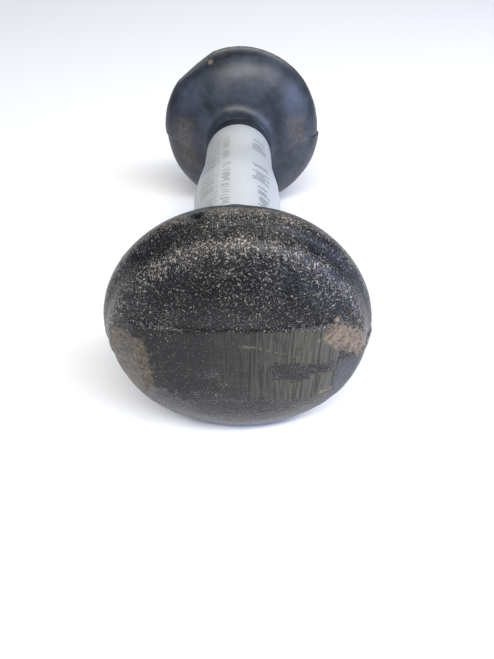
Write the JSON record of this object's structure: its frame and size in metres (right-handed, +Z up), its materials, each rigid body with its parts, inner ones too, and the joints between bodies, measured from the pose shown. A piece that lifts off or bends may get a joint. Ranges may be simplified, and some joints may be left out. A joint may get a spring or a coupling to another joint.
{
  "type": "dumbbell",
  "caption": "Small black cast-iron hand weight with round heads, a contoured grip and a paper stock label.",
  "frame": {"origin": "middle of the grip, on the bar's axis, halfway between the two heads", "axes": "+Y along the bar from the front head to the rear head, +Z up through the middle of the label, +X to the right when looking along +Y"},
  "size_m": [0.0651, 0.1518, 0.0642],
  "materials": {
    "bar": "satin",
    "heads": "satin",
    "label": "satin"
  },
  "bodies": {
    "root": {"handle_bar": "bar", "front_head": "heads", "rear_head": "heads", "label": "label"}
  },
  "joints": []
}
